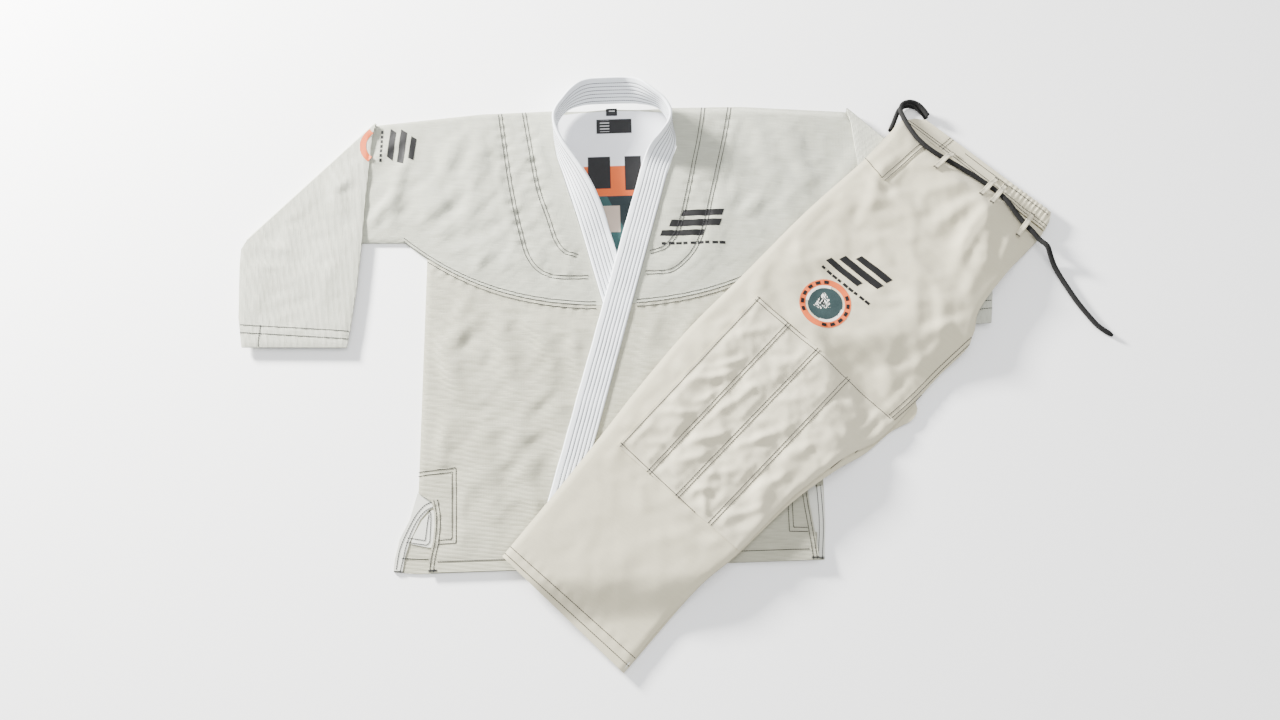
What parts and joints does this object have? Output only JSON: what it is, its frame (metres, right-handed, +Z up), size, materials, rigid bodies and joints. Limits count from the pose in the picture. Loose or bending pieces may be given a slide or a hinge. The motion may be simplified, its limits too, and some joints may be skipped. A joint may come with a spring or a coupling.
{
  "type": "martial arts uniform",
  "caption": "Wrap jacket with thick collar and folded sleeves, laid flat under folded drawstring trousers with knee patches.",
  "frame": {"origin": "on the table, under the middle of the uniform's own footprint without the drawstring's free ends", "axes": "+X across the jacket from its right sleeve to its left, +Y from the hem to the collar, +Z up from the table"},
  "size_m": [1.3882, 0.9642, 0.0549],
  "materials": {
    "jacket_cloth": "greyish white pearl weave",
    "trouser_cloth": "cream white cotton twill",
    "collar_cloth": "bluish white ripstop, stitched in rows",
    "lining_cloth": "smooth white lining with a printed panel",
    "tape_cloth": "plain white tape and reinforcement cloth",
    "collar_foam": "grey foam",
    "elastic_band": "ribbed white elastic",
    "label_cloth": "black woven label",
    "print_ink": "black transfer print",
    "badge_ink": "orange and dark printed badge",
    "cord_braid": "black braided cotton cord"
  },
  "bodies": {
    "jacket": {"upper_back_panel": "jacket_cloth", "skirt_back_panel": "jacket_cloth", "back_lining": "lining_cloth", "back_hem_tape": "tape_cloth", "right_front_yoke": "jacket_cloth", "left_front_yoke": "jacket_cloth", "right_skirt_front": "jacket_cloth", "left_skirt_front": "jacket_cloth", "right_front_hem_tape": "tape_cloth", "right_front_vent_patch": "tape_cloth", "right_front_vent_tape": "tape_cloth", "right_back_vent_patch": "tape_cloth", "right_back_vent_tape": "tape_cloth", "left_front_hem_tape": "tape_cloth", "left_front_vent_patch": "tape_cloth", "left_front_vent_tape": "tape_cloth", "left_back_vent_patch": "tape_cloth", "left_back_vent_tape": "tape_cloth", "right_shoulder_reinforcement": "tape_cloth", "left_shoulder_reinforcement": "tape_cloth", "left_forearm_front": "jacket_cloth", "left_cuff_tape": "tape_cloth", "left_forearm_back": "jacket_cloth", "collar_cover": "collar_cloth", "collar_core": "collar_foam", "neck_label": "label_cloth", "chest_print": "print_ink", "sleeve_print": "print_ink"},
    "right_forearm": {"right_forearm_front": "jacket_cloth", "right_cuff_tape": "tape_cloth", "right_forearm_back": "jacket_cloth"},
    "size_tag": {"size_tag": "label_cloth"},
    "trousers": {"left_leg_front_upper": "trouser_cloth", "left_leg_back_upper": "trouser_cloth", "right_leg_back_upper": "trouser_cloth", "right_leg_front_upper": "trouser_cloth", "left_knee_patch": "trouser_cloth", "right_knee_patch": "trouser_cloth", "waistband_under": "trouser_cloth", "waistband_top": "trouser_cloth", "waist_elastic": "elastic_band", "drawstring_in_tunnel": "cord_braid", "right_hip_patch": "trouser_cloth", "left_hip_patch": "trouser_cloth", "drawstring_free_end": "cord_braid", "drawstring_tucked_end": "cord_braid", "belt_loop_1": "trouser_cloth", "belt_loop_2": "trouser_cloth", "belt_loop_3": "trouser_cloth", "belt_loop_4": "trouser_cloth", "thigh_print": "print_ink", "thigh_badge": "badge_ink"},
    "lower_legs": {"left_leg_front_lower": "trouser_cloth", "left_leg_back_lower": "trouser_cloth", "right_leg_back_lower": "trouser_cloth", "right_leg_front_lower": "trouser_cloth", "left_leg_hem_tape": "tape_cloth", "right_leg_hem_tape": "tape_cloth"}
  },
  "joints": [
    {"name": "right_sleeve_unfold", "type": "hinge", "parent": "jacket", "child": "right_forearm", "pos_m": [-0.55973, 0.31342, 0.00665], "axis": [-0.6862, -0.7274, 0], "range_deg": [0, 178]},
    {"name": "size_tag_flip", "type": "hinge", "parent": "jacket", "child": "size_tag", "pos_m": [-0.05973, 0.43962, 0.00415], "axis": [-1, 0, 0], "range_deg": [0, 100]},
    {"name": "trousers_lift", "type": "slide", "parent": "jacket", "child": "trousers", "axis": [0, 0, 1], "range_m": [0, 0.25]},
    {"name": "lower_leg_fold", "type": "hinge", "parent": "trousers", "child": "lower_legs", "pos_m": [0.01247, -0.23193, 0.0314], "axis": [-0.7133, 0.7009, 0], "range_deg": [0, 175]}
  ]
}
